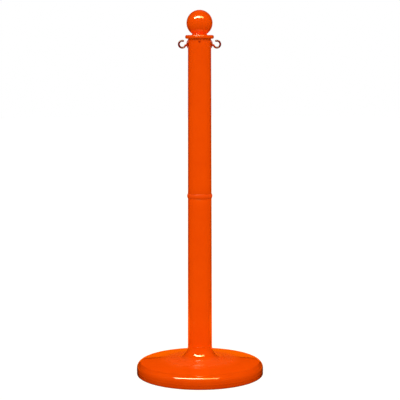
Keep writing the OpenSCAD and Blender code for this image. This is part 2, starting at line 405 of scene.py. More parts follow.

    # Painted shade: darker just above the floor, and darker on what stands out far, the hooks'
    # loops
    foot_shade_mask = nodes.new("ShaderNodeMapRange")
    foot_shade_mask.label = "Painted shade just above the floor"
    loop_shade_mask = nodes.new("ShaderNodeMapRange")
    loop_shade_mask.label = "Painted shade on the hooks' loops"
    either = nodes.new("ShaderNodeMath")
    either.label = "Either painted shade"
    either.operation = "MAXIMUM"
    painted_shade = nodes.new("ShaderNodeMix")
    painted_shade.label = "Painted shade darkens it"
    painted_shade.data_type = "RGBA"
    painted_shade.blend_type = "MULTIPLY"
    painted_shade.inputs["B"].default_value = (0.3, 0.15, 0.25, 1)
    links.new(height.outputs["Z"], foot_shade_mask.inputs["Value"])
    links.new(from_axis.outputs["Value"], loop_shade_mask.inputs["Value"])
    links.new(foot_shade_mask.outputs["Result"], either.inputs[0])
    links.new(loop_shade_mask.outputs["Result"], either.inputs[1])
    links.new(either.outputs["Value"], painted_shade.inputs["Factor"])
    links.new(dust_tint.outputs["Result"], painted_shade.inputs["A"])

    # Roughness: even gloss, a little duller in streaks, and dull where it is scuffed or dusty
    dull_streaks = nodes.new("ShaderNodeMapRange")
    dull_streaks.label = "Gloss varies with the streaks"
    dull_scuffs = nodes.new("ShaderNodeMix")
    dull_scuffs.label = "Scuffs are dull"
    dull_scuffs.inputs["B"].default_value = 0.5
    dull_dust = nodes.new("ShaderNodeMath")
    dull_dust.label = "Dust is dull"
    dull_dust.operation = "MULTIPLY_ADD"
    dull_dust.inputs[1].default_value = 0.25
    links.new(streaks.outputs["Fac"], dull_streaks.inputs["Value"])
    links.new(scuffs.outputs["Value"], dull_scuffs.inputs["Factor"])
    links.new(dull_streaks.outputs["Result"], dull_scuffs.inputs["A"])
    links.new(dusty.outputs["Value"], dull_dust.inputs[0])
    links.new(dull_scuffs.outputs["Result"], dull_dust.inputs[2])

    # Relief: orange peel over everything, streaks along the pole, hairline scratches
    peel = nodes.new("ShaderNodeTexNoise")
    peel.label = "Orange peel"
    peel_bump = nodes.new("ShaderNodeBump")
    peel_bump.label = "Peel relief"
    streak_bump = nodes.new("ShaderNodeBump")
    streak_bump.label = "Streak relief"
    tangle = nodes.new("ShaderNodeMapping")
    tangle.label = "Lay the scratches across"
    tangle.inputs["Rotation"].default_value = (0.6, 0.3, 0.4)
    tangle.inputs["Scale"].default_value = (30, 900, 60)
    hairlines = nodes.new("ShaderNodeTexVoronoi")
    hairlines.label = "Hairline scratches"
    hairlines.feature = "DISTANCE_TO_EDGE"
    hairlines.inputs["Scale"].default_value = 1
    hairline_edge = nodes.new("ShaderNodeValToRGB")
    hairline_edge.label = "Thin and few"
    hairline_edge.color_ramp.elements[0].position = 0.0
    hairline_edge.color_ramp.elements[1].position = 0.012
    scratch_bump = nodes.new("ShaderNodeBump")
    scratch_bump.label = "Scratch relief"
    links.new(place.outputs["Object"], peel.inputs["Vector"])
    links.new(peel.outputs["Fac"], peel_bump.inputs["Height"])
    links.new(streaks.outputs["Fac"], streak_bump.inputs["Height"])
    links.new(peel_bump.outputs["Normal"], streak_bump.inputs["Normal"])
    links.new(place.outputs["Object"], tangle.inputs["Vector"])
    links.new(tangle.outputs["Vector"], hairlines.inputs["Vector"])
    links.new(hairlines.outputs["Distance"], hairline_edge.inputs["Fac"])
    links.new(hairline_edge.outputs["Color"], scratch_bump.inputs["Height"])
    links.new(streak_bump.outputs["Normal"], scratch_bump.inputs["Normal"])

    plastic = nodes.new("ShaderNodeBsdfPrincipled")
    plastic.label = "Polyethylene"
    plastic.inputs["IOR"].default_value = 1.6
    plastic.inputs["Specular IOR Level"].default_value = 0.5 * shine
    plastic.inputs["Coat Roughness"].default_value = 0.03
    plastic.inputs["Coat IOR"].default_value = 1.9
    result = nodes.new("ShaderNodeOutputMaterial")
    result.label = "Orange surface"

    # Settings that repeat: textures, reliefs and ranges
    for texture, scale, detail in ((clouds, 22, 4), (speckle, 900, 2), (streaks, 1, 5),
                                   (rubbed, 60, 8), (peel, 260, 3)):
        texture.inputs["Scale"].default_value = scale
        texture.inputs["Detail"].default_value = detail
    for bump, strength, depth in ((peel_bump, 0.15, peel_depth), (streak_bump, 0.5, streak_depth),
                                  (scratch_bump, 0.12, 0.02 * MM)):
        bump.inputs["Strength"].default_value = strength
        bump.inputs["Distance"].default_value = depth
    for ramp, *values in ((near_floor, 0, scuff_top, 1, 0.12), (settled, 0.72, 0.96, 0, 1),
                          (patches, 0.3, 0.7, 0.7, 1), (gathered, 0.09, 0.12, 1, 0.15),
                          (clean, 0, 1, shine, 0), (foot_shade_mask, 0, 0.036, 0.5, 0),
                          (loop_shade_mask, 0.039, 0.046, 0, painted_loop_shade),
                          (dull_streaks, 0, 1, gloss * 0.85, gloss * 1.2)):
        for limit, value in zip(("From Min", "From Max", "To Min", "To Max"), values):
            ramp.inputs[limit].default_value = value

    # All of it meets in the plastic
    links.new(painted_shade.outputs["Result"], plastic.inputs["Base Color"])
    links.new(dull_dust.outputs["Value"], plastic.inputs["Roughness"])
    links.new(clean.outputs["Result"], plastic.inputs["Coat Weight"])
    links.new(scratch_bump.outputs["Normal"], plastic.inputs["Normal"])
    links.new(plastic.outputs["BSDF"], result.inputs["Surface"])
    lay_out((None, 0, place),
            (cloud_frame, 1, clouds, speckle, cloud_tint, speckle_tint),
            (streak_frame, 1, stretch, streaks, dull_streaks),
            (scuff_frame, 1, height, near_floor, rubbed, rubbed_edge, scuffs, scuff_share,
             scuff_tint, dull_scuffs),
            (dust_frame, 1, facing, up, settled, patches, flat, from_axis, gathered, laid, dusty,
             dust_share, clean, dust_tint, dull_dust),
            (painted_shade_frame, 1, foot_shade_mask, loop_shade_mask, either, painted_shade),
            (relief_frame, 1, peel, peel_bump, streak_bump, tangle, hairlines, hairline_edge,
             scratch_bump),
            (None, 15, plastic, result))
    return material


ORANGE = (0.95, 0.083, 0.0)
tube_orange = orange_plastic("drawn_tube_orange", ORANGE, gloss=0.09, streak_depth=0.02 * MM,
                             scuff_top=0.35, peel_depth=0.03 * MM)
blown_orange = orange_plastic("blown_base_orange", ORANGE, gloss=0.07, streak_depth=0.004 * MM,
                              scuff_top=0.06, peel_depth=0.02 * MM)
cap_orange = orange_plastic("moulded_cap_orange", ORANGE, gloss=0.08, streak_depth=0.004 * MM,
                            scuff_top=0.2, peel_depth=0.03 * MM)
ring_orange = orange_plastic("moulded_ring_orange", (0.8, 0.066, 0.0), gloss=0.4,
                             streak_depth=0.004 * MM, scuff_top=0.2, peel_depth=0.03 * MM,
                             shine=0.1)
# The hooks are the same plastic as the pole: their darker pigment and their darker loops are
# painted shade. The rivet shares this finish.
shaded_hook_orange = orange_plastic("moulded_hook_orange", (0.62, 0.04, 0.001), gloss=0.16,
                             streak_depth=0.004 * MM, scuff_top=0.2, peel_depth=0.02 * MM,
                             painted_loop_shade=0.95)
print("orange finishes:", tube_orange.name, blown_orange.name, cap_orange.name,
      ring_orange.name, shaded_hook_orange.name)

# %% [markdown]
# ## The dark pieces
#
# The stopper, its seal and the hooks' retainers are never seen on a standing post, but they come
# to light when it is taken apart. They are black: a moulded plastic with a fine grain, and a soft
# rubber that is duller still.

# %% Black plastic and rubber
def dark_moulding(name, colour, dullness, grain_scale, grain_depth):
    """Plain dark moulding with a fine grain."""
    material, nodes, links = empty_material(name)
    bloom_frame = nodes.new("NodeFrame")
    bloom_frame.label = "Bloom"
    grain_frame = nodes.new("NodeFrame")
    grain_frame.label = "Grain"
    place = nodes.new("ShaderNodeTexCoord")
    place.label = "Place on the piece"
    grain = nodes.new("ShaderNodeTexNoise")
    grain.label = "Moulded grain"
    grain.inputs["Scale"].default_value = grain_scale
    grain.inputs["Detail"].default_value = 4
    bloom = nodes.new("ShaderNodeTexNoise")
    bloom.label = "Grey bloom"
    bloom.inputs["Scale"].default_value = 70
    bloom.inputs["Detail"].default_value = 6
    bloom_tint = nodes.new("ShaderNodeMix")
    bloom_tint.label = "Bloom greys the black"
    bloom_tint.data_type = "RGBA"
    bloom_tint.inputs["A"].default_value = (*colour, 1)
    bloom_tint.inputs["B"].default_value = (colour[0] * 2.2, colour[1] * 2.2, colour[2] * 2.3, 1)
    uneven = nodes.new("ShaderNodeMapRange")
    uneven.label = "Uneven gloss"
    uneven.inputs["To Min"].default_value = dullness * 0.85
    uneven.inputs["To Max"].default_value = dullness * 1.15
    relief = nodes.new("ShaderNodeBump")
    relief.label = "Grain relief"
    relief.inputs["Strength"].default_value = 0.5
    relief.inputs["Distance"].default_value = grain_depth
    surface = nodes.new("ShaderNodeBsdfPrincipled")
    surface.label = "Dark moulding"
    result = nodes.new("ShaderNodeOutputMaterial")
    result.label = "Dark surface"
    links.new(place.outputs["Object"], grain.inputs["Vector"])
    links.new(place.outputs["Object"], bloom.inputs["Vector"])
    links.new(bloom.outputs["Fac"], bloom_tint.inputs["Factor"])
    links.new(bloom.outputs["Fac"], uneven.inputs["Value"])
    links.new(grain.outputs["Fac"], relief.inputs["Height"])
    links.new(bloom_tint.outputs["Result"], surface.inputs["Base Color"])
    links.new(uneven.outputs["Result"], surface.inputs["Roughness"])
    links.new(relief.outputs["Normal"], surface.inputs["Normal"])
    links.new(surface.outputs["BSDF"], result.inputs["Surface"])
    lay_out((None, 0, place), (bloom_frame, 1, bloom, bloom_tint, uneven),
            (grain_frame, 1, grain, relief), (None, 4, surface, result))
    return material


black_plastic = dark_moulding("black_plastic", (0.02, 0.02, 0.021), 0.45, 1200, 0.03 * MM)
seal_rubber = dark_moulding("seal_rubber", (0.012, 0.012, 0.012), 0.7, 2500, 0.05 * MM)
print("dark finishes:", black_plastic.name, seal_rubber.name)

# %% [markdown]
# ## The sand
#
# Dry sand is a crowd of pale grains. A cell texture gives each grain its own tone, and the same
# cells raise the surface into grains, which is far cheaper than scattering real ones.

# %% Sand finish
sand_finish, nodes, links = empty_material("dry_sand")
grain_frame = nodes.new("NodeFrame")
grain_frame.label = "Grains of sand"
place = nodes.new("ShaderNodeTexCoord")
place.label = "Place in the base"
grains = nodes.new("ShaderNodeTexVoronoi")
grains.label = "Grains"
grains.inputs["Scale"].default_value = 1400
grain_tone = nodes.new("ShaderNodeValToRGB")
grain_tone.label = "Tone of each grain"
grain_tone.color_ramp.elements[0].color = (0.3, 0.22, 0.13, 1)
grain_tone.color_ramp.elements[1].color = (0.72, 0.6, 0.42, 1)
grain_relief = nodes.new("ShaderNodeBump")
grain_relief.label = "Round grains"
grain_relief.invert = True
grain_relief.inputs["Distance"].default_value = 0.4 * MM
sand_surface = nodes.new("ShaderNodeBsdfPrincipled")
sand_surface.label = "Dry sand"
sand_surface.inputs["Roughness"].default_value = 0.9
result = nodes.new("ShaderNodeOutputMaterial")
result.label = "Sandy surface"
links.new(place.outputs["Object"], grains.inputs["Vector"])
links.new(grains.outputs["Color"], grain_tone.inputs["Fac"])
links.new(grains.outputs["Distance"], grain_relief.inputs["Height"])
links.new(grain_tone.outputs["Color"], sand_surface.inputs["Base Color"])
links.new(grain_relief.outputs["Normal"], sand_surface.inputs["Normal"])
links.new(sand_surface.outputs["BSDF"], result.inputs["Surface"])
lay_out((None, 0, place), (grain_frame, 1, grains, grain_tone, grain_relief),
        (None, 4, sand_surface, result))
print("sand finish:", sand_finish.name)

# %% [markdown]
# ## The base
#
# The base is blown in one piece: a flat foot ring, an upright side, a well rounded edge, a low dome
# and a sweep up into the neck. The outline is the whole job. The sweep has to leave the dome and
# meet the pole without a kink, so its centre is worked out from the dome's slope and the pole's
# radius. The hollow inside is made as well, since the filler mouth looks into it.

# %% Base shell
dome_slope = math.radians(6.5)
edge_r = 17 * MM
edge_z = 20 * MM
foot_edge_r = 4 * MM
flare_r = 34 * MM
mouth_r = lower_bore_r - 3.5 * MM
under_r = base_r - 40 * MM
under_rise = 5 * MM
seam_z = 13 * MM
seam_proud = 0.25 * MM

edge_x = base_r - edge_r
crown_x = edge_x + edge_r * math.sin(dome_slope)
crown_z = edge_z + edge_r * math.cos(dome_slope)
flare_x = pole_foot_r + flare_r
flare_z = crown_z + (crown_x - flare_x) * math.tan(dome_slope) + flare_r / math.cos(dome_slope)


def base_side(inset, steps):
    """Side, rounded edge, dome and sweep of the base, moved inwards by inset."""
    slope = math.degrees(dome_slope)
    return (arc(base_r - foot_edge_r, foot_edge_r, foot_edge_r - inset, -90, 0, steps // 2)
            + arc(edge_x, edge_z, edge_r - inset, 0, 90 - slope, steps)
            + arc(flare_x, flare_z, flare_r + inset, 270 - slope, 180, steps))


spigot_r = lower_bore_r - 0.5 * MM
land_r = lower_bore_r - 0.08 * MM
spigot = [(spigot_r, pole_foot_z, 0.6 * MM), (spigot_r, pole_foot_z + 4 * MM, 0.4 * MM),
          (land_r, pole_foot_z + 5 * MM, 0.3 * MM), (land_r, pole_foot_z + 13 * MM, 0.3 * MM),
          (spigot_r, pole_foot_z + 14 * MM, 0.4 * MM), (spigot_r, spigot_top - 12 * MM, 0.4 * MM),
          (land_r, spigot_top - 11 * MM, 0.3 * MM), (land_r, spigot_top - 3 * MM, 0.5 * MM),
          (spigot_r - 1.5 * MM, spigot_top, 0.5 * MM), (mouth_r, spigot_top, 0.8 * MM),
          (mouth_r, pole_foot_z, 2 * MM), (pole_foot_r - wall, pole_foot_z - 3 * MM, 1 * MM)]
shoulder = [(pole_foot_r, flare_z, 0), (pole_foot_r, pole_foot_z, 0.5 * MM)]
seam = [(base_r, seam_z - 0.5 * MM), (base_r + seam_proud, seam_z), (base_r, seam_z + 0.5 * MM)]
side_steps = 20
outside = base_side(0, side_steps)
foot_steps = side_steps // 2 + 1
outside = outside[:foot_steps] + seam + outside[foot_steps:]
under = rounded([(0, under_rise, 0), (under_r, under_rise, 2 * MM),
                 (under_r + under_rise, 0, 1 * MM), (outside[0][0], 0, 0)])
inside = list(reversed(base_side(wall, 12)))
floor_inside = rounded([(inside[-1][0], wall, 0), (under_r + 2 * under_rise, wall, 2 * MM),
                        (under_r, under_rise + wall, 2 * MM), (0, under_rise + wall, 0)])
base_outline = (under[:-1] + outside + rounded(shoulder + spigot + [(*inside[0], 0)])[1:-1]
                + inside[:-1] + floor_inside)
base = lathe("base_moulding", finer(base_outline, 6 * MM), 256, waviness(110 * MM, 0.04 * MM, 3))
put(base, "base", "post_plastic", blown_orange, "base_shell")

# %% [markdown]
# ## The sand in the base
#
# It is poured in through the neck, so it lies level with a low heap in the middle.

# %% Sand
sand_gap = wall + 0.4 * MM
sand_edge = [p for p in base_side(sand_gap, 12) if p[1] < sand_high.z - 2 * MM and p[0] > edge_x]
heap = rounded([(sand_edge[-1][0], sand_edge[-1][1], 0),
                (sand_edge[-1][0] - 40 * MM, sand_high.z - 2 * MM, 12 * MM),
                (60 * MM, sand_high.z - 1.2 * MM, 15 * MM), (0, sand_high.z, 0)])
sand_foot = rounded([(0, under_rise + sand_gap, 0), (under_r, under_rise + sand_gap, 1 * MM),
                     (under_r + 2 * under_rise, sand_gap, 1 * MM), (sand_edge[0][0], sand_gap, 0)])
sand = lathe("sand_fill", finer(sand_foot[:-1] + sand_edge + heap[1:], 5 * MM), 128)
put(sand, "base", "sand", sand_finish, "sand_ballast")

# %% [markdown]
# ## The two tubes
#
# A drawn tube is sawn to length and its edges are broken. Each tube is an outline with four small
# radii, turned. The hooks and the rivet need holes in the upper one. A boolean cut is the honest
# way to make them: the cut's rim is a real edge that the light finds.

# %% Tubes
hook_z = 923 * MM
stem_hole_r = 4.98 * MM
rivet_z = (rivet_low.z + rivet_high.z) / 2
forwards = (0, -1, 0)


def tube(name, low, high, bore_r, turns):
    """A slightly tapered tube with broken edges."""
    broken = 0.4 * MM
    corners = [(bore_r, high, broken), (bore_r, low, broken), (pole_r(low), low, broken),
               (pole_r(high), high, broken)]
    middle = (bore_r, (low + high) / 2)
    closed = [(*middle, 0), corners[1], corners[2], corners[3], corners[0], (*middle, 0)]
    return lathe(name, finer(rounded(closed, 3)[:-1], 25 * MM), turns)


def turn_to(direction):
    """The turn that takes Z to direction."""
    return Vector((0, 0, 1)).rotation_difference(Vector(direction)).to_matrix().to_4x4()


def drill(piece, r, start, direction, z, turns):
    """Cuts a round hole at height z, from start along direction to well outside the pole."""
    end = 60 * MM
    drill_bit = lathe("drill_bit", [(0, start), (r, start), (r, end), (0, end)], turns)
    drill_bit.data.transform(turn_to(direction))
    drill_bit.data.transform(Matrix.Translation((0, 0, z)))
    bpy.context.view_layer.objects.active = piece
    boolean = piece.modifiers.new("cut", "BOOLEAN")
    boolean.operation = "DIFFERENCE"
    boolean.solver = "EXACT"
    boolean.object = drill_bit
    bpy.ops.object.modifier_apply(modifier=boolean.name)
    bpy.data.objects.remove(drill_bit)


def drill_pole_head(piece, rivet_hole_r):
    """The hole through both walls for the hooks' stems and the one in front for the rivet."""
    drill(piece, stem_hole_r, -60 * MM, (1, 0, 0), hook_z, 64)
    drill(piece, rivet_hole_r, 0, forwards, rivet_z, 48)
    piece.data.set_sharp_from_angle(angle=math.radians(35))


lower = tube("lower_tube", foot_low.z, foot_high.z, lower_bore_r, 192)
put(lower, "lower_pole", "post_plastic", tube_orange, "lower_pole")
upper = tube("upper_tube", head_low.z, head_high.z, upper_bore_r, 192)
drill_pole_head(upper, rivet_hole_r=2.9 * MM)
put(upper, "upper_pole", "post_plastic", tube_orange, "upper_pole")

# %% [markdown]
# ## The joint ring
#
# One moulding joins the tubes: a sleeve goes down into one and up into the other, and a rounded
# ring stands out between them. Two raised lands on each sleeve grip the bore. Their small steps
# show only when the halves are pulled apart.

# %% Joint ring with its sleeves
bead_r = ((ring_h / 2) ** 2 + ring_proud ** 2) / (2 * ring_proud)
bead_half = math.degrees(math.asin(ring_h / 2 / bead_r))
bead = arc(pole_r(ring_z) + ring_proud - bead_r, ring_z, bead_r, -bead_half, bead_half, 14)
sleeve_bore_r = upper_bore_r - 3.5 * MM


def sleeve(bore_r, root_z, tip_z):
    """Corners of a sleeve from the ring to its tip, with a gripping land at each end."""
    away = 1 if tip_z > root_z else -1
    land, plain = bore_r - 0.08 * MM, bore_r - 0.5 * MM
    steps = [(land, 0), (land, 8), (plain, 9)]
    span = abs(tip_z - root_z) / MM
    steps += [(plain, span - 12), (land, span - 11), (land, span - 3), (plain - 1 * MM, span)]
    return [(r, root_z + away * d * MM, 0.3 * MM) for r, d in steps]


low_sleeve = list(reversed(sleeve(lower_bore_r, ring_z - ring_h / 2, ring_low.z)))
high_sleeve = sleeve(upper_bore_r, ring_z + ring_h / 2, ring_high.z)
low_part = rounded([(sleeve_bore_r, ring_z, 0), (sleeve_bore_r, ring_low.z, 0.5 * MM)]
                   + low_sleeve + [(*bead[0], 0)])
high_part = rounded([(*bead[-1], 0)] + high_sleeve
                    + [(sleeve_bore_r, ring_high.z, 0.5 * MM), (sleeve_bore_r, ring_z, 0)])
ring = lathe("joint_ring", finer(low_part + bead[1:-1] + high_part[:-1], 12 * MM), 192)
put(ring, "coupler", "post_plastic", ring_orange, "pole_coupler")

# %% [markdown]
# ## The cap
#
# Ball, neck and flange are one moulding. The ball is cut off by the neck with only a small sweep
# between them, and the flange is a thick disc with a generous radius. The ball comes from the
# mould with a faint seam over the top, left where the two halves of the tool meet.

# %% Ball cap
ball_r = 35.5 * MM
ball_z = cap_high.z - ball_r
neck_r = 20 * MM
flange_r = 39.2 * MM
flange_top = flange_z + 10 * MM
flange_edge_r = 4 * MM
cap_wall = 2.8 * MM
cap_spigot_r = upper_bore_r - 0.08 * MM
cap_bore_r = cap_spigot_r - cap_wall
neck_angle = math.degrees(math.acos(neck_r / ball_r))
neck_z = ball_z - math.sqrt(ball_r ** 2 - neck_r ** 2)
sweep_r = neck_z - flange_top
inner_r, inner_neck_r = ball_r - cap_wall, neck_r - cap_wall
inner_angle = math.degrees(math.acos(inner_neck_r / inner_r))


def ball_seam(point):
    """Raises a hair-thin seam over the ball in the plane of the hooks."""
    if point.z < neck_z or abs(point.y) > 0.25 * MM:
        return point
    centre = Vector((0, 0, ball_z))
    return point + (point - centre).normalized() * 0.08 * MM


cap_outline = (arc(0, ball_z, ball_r, 90, -neck_angle, 60)
               + arc(neck_r + sweep_r, neck_z, sweep_r, 180, 270, 8)[1:]
               + arc(flange_r - flange_edge_r, flange_top - flange_edge_r, flange_edge_r, 90, 0, 10)
               + arc(flange_r - flange_edge_r, flange_z + flange_edge_r, flange_edge_r, 0, -90, 10)
               + rounded([(flange_r - flange_edge_r, flange_z, 0),
                          (cap_spigot_r, flange_z, 0.5 * MM),
                          (cap_spigot_r, cap_low.z + 3 * MM, 1 * MM),
                          (cap_spigot_r - 1.5 * MM, cap_low.z, 0.5 * MM),
                          (cap_bore_r, cap_low.z, 0.5 * MM), (cap_bore_r, flange_z, 2 * MM),
                          (inner_neck_r, flange_top - cap_wall, 2 * MM),
                          (inner_neck_r, neck_z, 0)])[1:]
               + arc(0, ball_z, inner_r, -inner_angle, 90, 24))
cap = lathe("ball_cap_moulding", finer(cap_outline, 5 * MM), 256, ball_seam)
drill_pole_head(cap, rivet_hole_r=1.8 * MM)
put(cap, "upper_pole", "post_plastic", cap_orange, "ball_cap")

# %% [markdown]
# ## The rivet
#
# A push rivet locks the cap. Its head lies a millimetre below the pole's surface, in a
# counterbore, with a dimple where its centre pin was driven home.

# %% Rivet
head_y = -rivet_low.y
tail_y = -rivet_high.y
shank_r, rivet_head_r = 1.78 * MM, 2.68 * MM
under_head_y, dimple_y = head_y - 1 * MM, head_y - 0.7 * MM
rivet_outline = rounded([(0, tail_y, 0), (1 * MM, tail_y, 0.3 * MM),
                         (shank_r, tail_y + 1 * MM, 0.3 * MM), (shank_r, under_head_y, 0.1 * MM),
                         (rivet_head_r, under_head_y, 0.1 * MM), (rivet_head_r, head_y, 0.4 * MM),
                         (1.4 * MM, head_y, 0.2 * MM), (1.1 * MM, dimple_y, 0.2 * MM),
                         (0, dimple_y, 0)], 4)
rivet = lathe("cap_push_rivet", rivet_outline, 64)
rivet.data.transform(turn_to(forwards))
rivet.data.transform(Matrix.Translation((0, 0, rivet_z)))
put(rivet, "upper_pole", "hook_plastic", shaded_hook_orange, "cap_rivet")

# %% [markdown]
# ## The hooks
#
# A hook is a bent rod that grows out of a domed pad. In the mould these meet in soft fillets,
# which neither a swept tube nor a lathed pad has. So the rod, the shank, the pad and the stem are
# made as separate overlapping shapes, joined into one skin with a fine voxel remesh, and then
# relaxed, which pulls the corners between them into fillets.

# %% Hooks
hook_reach = 47.4 * MM
eye_r = 9.3 * MM
rod_r = 2.7 * MM
tip_angle = math.radians(104)
root_angle = math.radians(-165)
pad_r = 11 * MM
pad_h = 4 * MM
pad_x = pole_r(hook_z) + 0.35 * MM
stem_r = 4.9 * MM
stem_neck_r = 3.6 * MM
stem_end_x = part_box("hook_right")[0].x
retainer_low, retainer_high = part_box("hook_right_retainer")
voxel = 0.3 * MM


def swept_rod(path, radius, sides=24):
    """A round rod along points in the XZ plane, closed at both ends."""
    mesh_maker = bmesh.new()
    rings = []
    for i, point in enumerate(path):
        ahead = path[min(i + 1, len(path) - 1)] - path[max(i - 1, 0)]
        ahead.normalize()
        side = Vector((0, 1, 0))
        out = ahead.cross(side)
        rings.append([mesh_maker.verts.new(point + radius * (
            side * math.cos(2 * math.pi * k / sides) + out * math.sin(2 * math.pi * k / sides)))
            for k in range(sides)])
    for ring, following in zip(rings, rings[1:]):
        for k in range(sides):
            j = (k + 1) % sides
            mesh_maker.faces.new([ring[k], ring[j], following[j], following[k]])
    mesh_maker.faces.new(rings[0])
    mesh_maker.faces.new(rings[-1])
    bmesh.ops.recalc_face_normals(mesh_maker, faces=mesh_maker.faces)
    return finish_mesh("rod_part", mesh_maker)


def hook_parts():
    """The overlapping shapes of the right-hand hook."""
    centre = Vector((hook_reach, 0, hook_z))
    steps = 72
    angles = [tip_angle + (root_angle - tip_angle) * i / steps for i in range(steps + 1)]
    eye = [centre + eye_r * Vector((math.cos(a), 0, math.sin(a))) for a in angles]
    parts = [swept_rod(eye, rod_r)]
    for end, swell in ((eye[0], 0.25 * MM), (eye[-1], 0)):
        ball = lathe("rod_end", arc(0, 0, rod_r + swell, -90, 90, 16), 32)
        ball.data.transform(Matrix.Translation(end))
        parts.append(ball)
    root = eye[-1]
    shank = [Vector((pad_x + 0.5 * MM, 0, root.z + 0.6 * MM)),
             Vector((pad_x + 3 * MM, 0, root.z + 0.4 * MM)), root]
    parts.append(swept_rod(shank, rod_r * 1.02))
    dome_r = (pad_r ** 2 + (pad_h - 0.9 * MM) ** 2) / (2 * (pad_h - 0.9 * MM))
    dome_angle = math.degrees(math.asin(pad_r / dome_r))
    pad_outline = ([(0, 0), (pad_r, 0)]
                   + arc(0, pad_h - dome_r, dome_r, 90 - dome_angle, 90, 20))
    pad = lathe("pad", pad_outline, 96)
    near, far, end = (x - pad_x for x in (retainer_high.x, retainer_low.x, stem_end_x))
    stem = lathe("stem", [(0, far), (stem_neck_r, far), (stem_neck_r, near), (stem_r, near),
                          (stem_r, 0.5 * MM), (0, 0.5 * MM)], 64)
    stem_tip = lathe("stem_tip", rounded([(0, end, 0), (stem_neck_r, end, 0.5 * MM),
                                          (stem_neck_r, far + 1 * MM, 0),
                                          (0, far + 1 * MM, 0)]), 64)
    for part in (pad, stem, stem_tip):
        part.data.transform(Matrix.Rotation(math.radians(90), 4, "Y"))
        part.data.transform(Matrix.Translation((pad_x, 0, hook_z)))
        parts.append(part)
    return parts


def one_skin(parts, name, size, relax):
    """Joins overlapping shapes into one closed skin and softens the corners between them."""
    for part in parts:
        part.select_set(True)
    bpy.context.view_layer.objects.active = parts[0]
    bpy.ops.object.join()
    piece = bpy.context.view_layer.objects.active
    piece.name = name
    piece.data.name = name
    remesh = piece.modifiers.new("one_skin", "REMESH")
    remesh.mode = "VOXEL"
    remesh.voxel_size = size
    smooth = piece.modifiers.new("relax", "SMOOTH")
    smooth.factor = 0.5
    smooth.iterations = relax
    for modifier in (remesh, smooth):
        bpy.ops.object.modifier_apply(modifier=modifier.name)
    piece.data.shade_smooth()
    piece.select_set(False)
    return piece


bpy.ops.object.select_all(action="DESELECT")
right_hook = one_skin(hook_parts(), "right_hook_moulding", voxel, 8)
left_mesh = right_hook.data.copy()
left_mesh.transform(Matrix.Scale(-1, 4, (1, 0, 0)))
left_mesh.flip_normals()
left_hook = bpy.data.objects.new("left_hook_moulding", left_mesh)
bpy.context.scene.collection.objects.link(left_hook)
put(right_hook, "right_hook", "hook_plastic", shaded_hook_orange, "hook_right")
put(left_hook, "left_hook", "hook_plastic", shaded_hook_orange, "hook_left")

# %% [markdown]
# ## The retainers
#
# A push-on ring holds each stem from inside the cap. Its hole has teeth that bite into the stem,
# so it is made from a flat star-shaped outline given a thickness, and not turned.

# %% Retainers
def retainer(name, side):
    """A push-on ring with teeth. side is 1 on the right and -1 on the left."""
    teeth = 12
    outer, root, bite = 8 * MM, 4.6 * MM, 3.62 * MM
    mesh_maker = bmesh.new()
    sides = teeth * 6
    loops = []
    for x in (retainer_low.x, retainer_high.x):
        outside, inside = [], []
        for k in range(sides):
            angle = 2 * math.pi * k / sides
            across = Vector((0, math.cos(angle), math.sin(angle)))
            hole = bite if k % 6 in (0, 1, 2, 3) else root
            outside.append(mesh_maker.verts.new(Vector((side * x, 0, hook_z)) + across * outer))
            inside.append(mesh_maker.verts.new(Vector((side * x, 0, hook_z)) + across * hole))
        loops.append((outside, inside))
    (out_a, in_a), (out_b, in_b) = loops
    for k in range(sides):
        j = (k + 1) % sides
        mesh_maker.faces.new([out_a[k], out_a[j], out_b[j], out_b[k]])
        mesh_maker.faces.new([in_a[k], in_b[k], in_b[j], in_a[j]])
        mesh_maker.faces.new([out_a[k], in_a[k], in_a[j], out_a[j]])
        mesh_maker.faces.new([out_b[k], out_b[j], in_b[j], in_b[k]])
    bmesh.ops.recalc_face_normals(mesh_maker, faces=mesh_maker.faces)
    piece = finish_mesh(name, mesh_maker, 30)
    bevel = piece.modifiers.new("broken_edges", "BEVEL")
    bevel.width = 0.2 * MM
    bevel.segments = 2
    bevel.limit_method = "ANGLE"
    return piece


for hand, side in (("right", 1), ("left", -1)):
    put(retainer(f"{hand}_retainer", side), f"{hand}_hook", "stopper_plastic", black_plastic,
        f"hook_{hand}_retainer")

# %% [markdown]
# ## The stopper
#
# The filler mouth is closed by a plug with a finger grip across its well. The plug is turned, the
# well is cut out on both sides of the grip, and the grip is a block with rounded edges.

# %% Stopper and seal
seat_z = spigot_top + 0.2 * MM
skirt_r = mouth_r - 0.5 * MM
seal_rod_r = 1.6 * MM
seal_mid_r = mouth_r - 0.06 * MM - seal_rod_r
seal_z = spigot_top - 10 * MM
groove_r = seal_mid_r - seal_rod_r
groove_h = 1.7 * MM
lip_r = mouth_r + 2 * MM
lip_z = seat_z + 2.5 * MM
stopper = lathe("filler_stopper", rounded([
    (0, stopper_low.z, 0), (skirt_r - 2 * MM, stopper_low.z, 0.5 * MM),
    (skirt_r, stopper_low.z + 3 * MM, 0.5 * MM), (skirt_r, seal_z - groove_h, 0.2 * MM),
    (groove_r, seal_z - groove_h, 0.2 * MM), (groove_r, seal_z + groove_h, 0.2 * MM),
    (skirt_r, seal_z + groove_h, 0.2 * MM), (skirt_r, seat_z, 0.2 * MM),
    (lip_r, seat_z, 0.3 * MM), (lip_r, lip_z, 1 * MM), (skirt_r - 4 * MM, lip_z, 0.8 * MM),
    (skirt_r - 5 * MM, stopper_low.z + 2.5 * MM, 1 * MM), (0, stopper_low.z + 2.5 * MM, 0)]), 128)
grip_l, grip_w = 17 * MM, 2.5 * MM
mesh_maker = bmesh.new()
bmesh.ops.create_cube(mesh_maker, size=1)
grip_low, grip_high = stopper_low.z + 1 * MM, stopper_high.z
grip_span = Matrix.Diagonal((2 * (skirt_r - 3 * MM), 2 * grip_w, grip_high - grip_low, 1))
